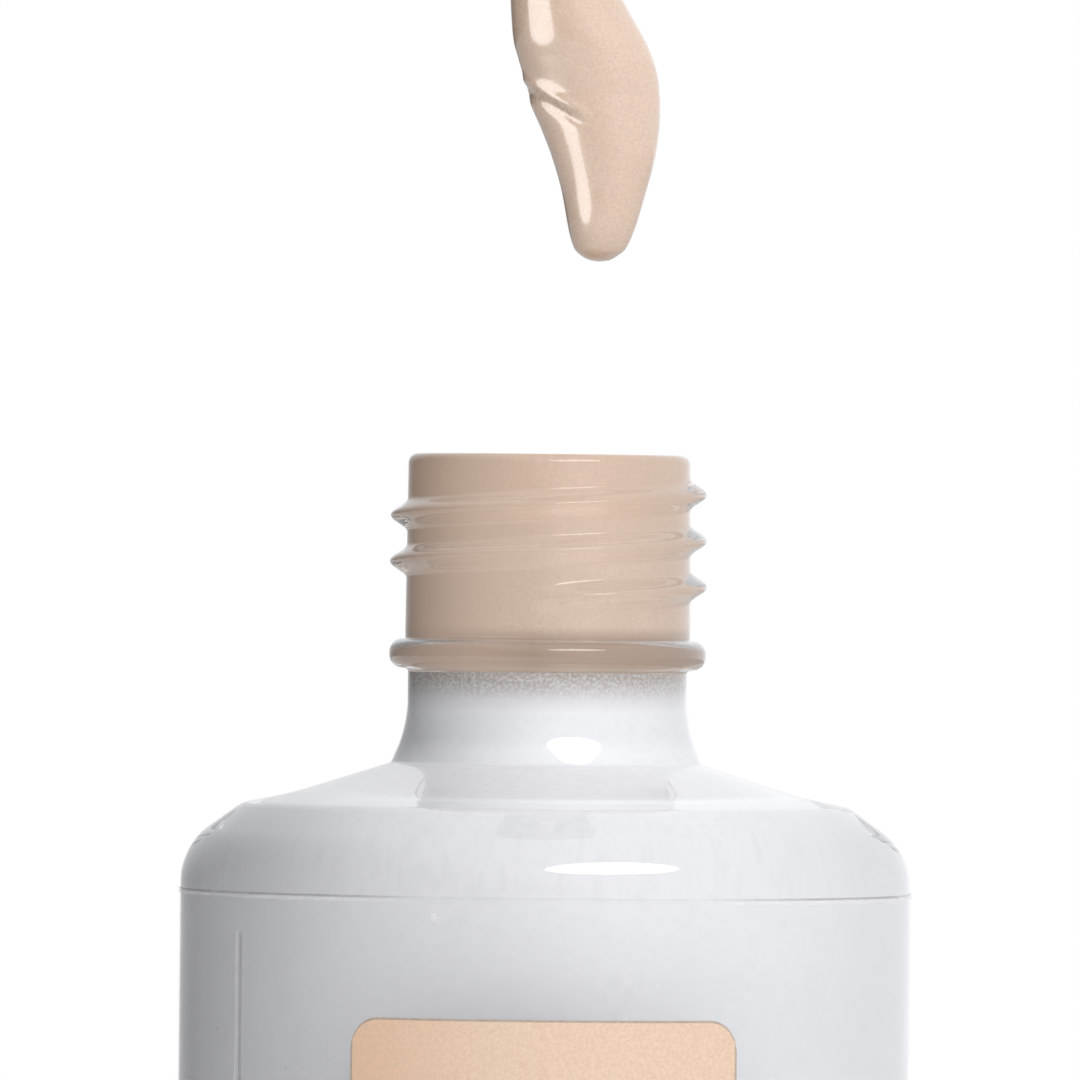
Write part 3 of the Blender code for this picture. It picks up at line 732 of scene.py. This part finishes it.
def naturalFinish(grain, name, wet):
    # satin natural moulding; wet is how much foundation clings to it
    finish = Finish(name, (0.74, 0.735, 0.71), 0.42)
    finish.shader.inputs["Subsurface Weight"].default_value = 0.15
    finish.shader.inputs["Subsurface Radius"].default_value = (1.2 * mm, 1.0 * mm, 0.9 * mm)
    finish.tint(finish.mask(grain, Scale=90.0, Low=0.4, High=0.75), (0.70, 0.695, 0.665))
    grains = finish.mask(grain, Scale=1900.0, Low=0.3, High=0.7)
    finish.remap(grains, 0.36, 0.50, "Roughness")
    finish.bump(grains, 0.12, 0.02)
    if wet:
        streaks = finish.mask(grain, Scale=330.0, Low=0.62 - wet, High=0.70 - wet * 0.6, Stretch=0.22)
        finish.tint(finish.calc("MULTIPLY", streaks, 0.9), (0.62, 0.475, 0.375))
    return finish.material


def foamFinish(grain):
    finish = Finish("foamSheet", (0.76, 0.76, 0.74), 0.85)
    cells = finish.mask(grain, Scale=2300.0, Low=0.40, High=0.60)
    finish.tint(cells, (0.66, 0.66, 0.64))
    finish.bump(cells, 0.5, 0.05)
    return finish.material


stageLook = {
    "cameraDistance": 1.06, "lens": 513.0, "cameraX": -0.0006, "cameraDrop": 0.0059, "roll": math.radians(0.6),
    "floorRadius": 0.9,
}
lobes = {  # where the studio's light comes from: direction, the cosines it runs between, and its strength
    "front": ((0.0, -0.95, 0.32), 0.15, 1.0, 1.29), "rear": ((0.76, 0.64, 0.10), 0.25, 1.0, 1.36),
    "mirrored": ((0.78, 0.12, 0.60), -0.35, 0.25, 1.1),
}


def makeCamera():
    data = bpy.data.cameras.new("camera")
    data.sensor_width = 36
    data.lens = stageLook["lens"]
    data.clip_start = 0.01
    data.clip_end = 200
    camera = bpy.data.objects.new("camera", data)
    bpy.context.scene.collection.objects.link(camera)
    camera.location = (stageLook["cameraX"], -stageLook["cameraDistance"], rimHeight - stageLook["cameraDrop"])
    camera.rotation_euler = Matrix.Rotation(math.pi / 2, 4, "X").to_euler()
    camera.rotation_euler.rotate_axis("Z", stageLook["roll"])
    bpy.context.scene.camera = camera


softboxes = {  # azimuth turns from the front towards +X, and aim is the height on the axis that each one faces
    "keySoftbox": {
        "azimuth": math.radians(24), "elevation": math.radians(38), "distance": 0.6,
        "width": 0.42, "height": 0.20, "power": 1.3, "aim": rimHeight * 0.8,
    },
    "wandPanel": {
        "azimuth": math.radians(-50), "elevation": 0.0, "distance": 0.15,
        "width": 0.13, "height": 0.10, "power": 0.15, "aim": rimHeight + 25 * mm,
    },
}


def makeLight(name):
    k = softboxes[name]
    data = bpy.data.lights.new(name, "AREA")
    data.shape = "ELLIPSE"
    data.size = k["width"]
    data.size_y = k["height"]
    data.energy = k["power"]
    light = bpy.data.objects.new(name, data)
    bpy.context.scene.collection.objects.link(light)
    across = math.cos(k["elevation"]) * k["distance"]
    target = Vector((0, 0, k["aim"]))
    light.location = target + Vector((
        math.sin(k["azimuth"]) * across, -math.cos(k["azimuth"]) * across,
        math.sin(k["elevation"]) * k["distance"]))
    light.rotation_euler = (target - light.location).to_track_quat("-Z", "Y").to_euler()
    light.visible_camera = False
    return light


def makeWandPanel(wetPiece):
    # a panel that only shows as a long highlight down the wet foundation on the wand
    panel = makeLight("wandPanel")
    panel.visible_diffuse = False
    shownOn = bpy.data.collections.new("wandPanelShownOn")
    shownOn.objects.link(wetPiece)
    panel.light_linking.receiver_collection = shownOn


def makeFloor(grain):
    finish = Finish("paleFloor", (0.86, 0.86, 0.86), 0.6)
    finish.tint(finish.mask(grain, Scale=9.0, Low=0.3, High=0.8), (0.83, 0.83, 0.83))
    bm = bmesh.new()
    bmesh.ops.create_circle(bm, cap_ends=True, segments=96, radius=stageLook["floorRadius"])
    mesh = bpy.data.meshes.new("floor")
    bm.to_mesh(mesh)
    bm.free()
    mesh.materials.append(finish.material)
    floor = bpy.data.objects.new("floor", mesh)
    bpy.context.scene.collection.objects.link(floor)


def makeWorld():
    # white where it is seen straight or through glass; its light and its reflections are dark on the left
    world = bpy.data.worlds.new("studio")
    bpy.context.scene.world = world
    world.use_nodes = True
    nodes, links = world.node_tree.nodes, world.node_tree.links
    backdrop = nodes["Background"]
    backdrop.inputs["Color"].default_value = (1, 1, 1, 1)
    coords = place(nodes, "ShaderNodeTexCoord")
    path = place(nodes, "ShaderNodeLightPath")

    def lobe(name):
        direction, low, high, strength = lobes[name]
        facing = place(nodes, "ShaderNodeVectorMath", {1: direction}, operation="DOT_PRODUCT")
        ramp = place(nodes, "ShaderNodeMapRange", {"From Min": low, "From Max": high, "To Max": strength})
        links.new(coords.outputs["Generated"], facing.inputs[0])
        links.new(facing.outputs["Value"], ramp.inputs["Value"])
        return ramp.outputs[0]

    def background(strength):
        node = place(nodes, "ShaderNodeBackground", {"Color": (0.97, 0.98, 1, 1)})
        links.new(strength, node.inputs["Strength"])
        return node.outputs[0]

    def blend(mask, first, second):
        node = place(nodes, "ShaderNodeMixShader")
        for socket, value in zip(node.inputs, (mask, first, second)):
            links.new(value, socket)
        return node.outputs[0]

    around = place(nodes, "ShaderNodeMath", operation="ADD")
    seen = place(nodes, "ShaderNodeMath", operation="MAXIMUM")
    links.new(lobe("front"), around.inputs[0])
    links.new(lobe("rear"), around.inputs[1])
    links.new(path.outputs["Is Camera Ray"], seen.inputs[0])
    links.new(path.outputs["Is Transmission Ray"], seen.inputs[1])
    room = blend(path.outputs["Is Diffuse Ray"], background(lobe("mirrored")), background(around.outputs[0]))
    links.new(blend(seen.outputs[0], room, backdrop.outputs[0]), nodes["World Output"].inputs["Surface"])


grain = grainGroup()
band = bandGroup()
makeCamera()
makeFloor(grain)
makeWorld()
makeLight("keySoftbox")
bpy.context.scene.view_settings.view_transform = "Standard"
print("stage, camera and lights made")

makeBottle(glassFinish(grain))
makeCoat(coatFinish(grain, band))
makeFill(fillFinish(grain, band))
makeWrap(filmFinish(grain, band))
makeLabel(labelFinish(grain, band), borderFinish(grain))
print("bottle, contents and labels made")

makeShell(shellFinish(grain))
makeLiner(naturalFinish(grain, "naturalMoulding", 0))
makeWad(foamFinish(grain))
makeHolder(naturalFinish(grain, "holderMoulding", 0.06))
makeRod(naturalFinish(grain, "stainedRod", 0.16))
makeSpatula(naturalFinish(grain, "stainedSpatula", 0.24))
makeWandPanel(makeDollop(dollopFinish(grain, band)))
print("closure and wand made")
